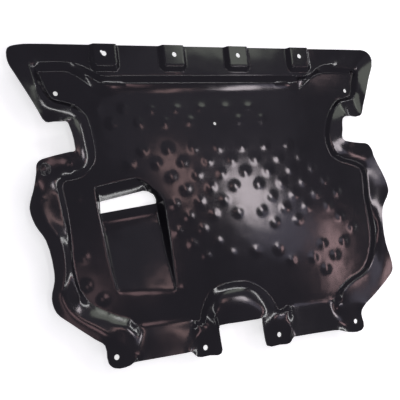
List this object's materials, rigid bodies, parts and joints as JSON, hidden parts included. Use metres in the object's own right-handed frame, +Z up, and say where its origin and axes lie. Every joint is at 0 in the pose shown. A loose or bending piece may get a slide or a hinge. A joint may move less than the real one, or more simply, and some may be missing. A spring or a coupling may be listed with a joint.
{
  "type": "engine splash shield",
  "caption": "One-piece moulded plastic tray with a raised flange, bolt pads along the front, rear bolt tabs, side notches, a dimpled floor and a slotted scoop.",
  "frame": {"origin": "centre of the bounding box in plan, at its lowest level, which is the underside of the scoop", "axes": "+X along the long side, with the scoop at -X; +Y towards the edge with the four bolt pads; +Z up out of the tray"},
  "size_m": [0.8172, 0.6199, 0.052],
  "materials": {
    "shield": "glossy moulded black"
  },
  "bodies": {
    "root": {"splash_shield": "shield"}
  },
  "joints": []
}
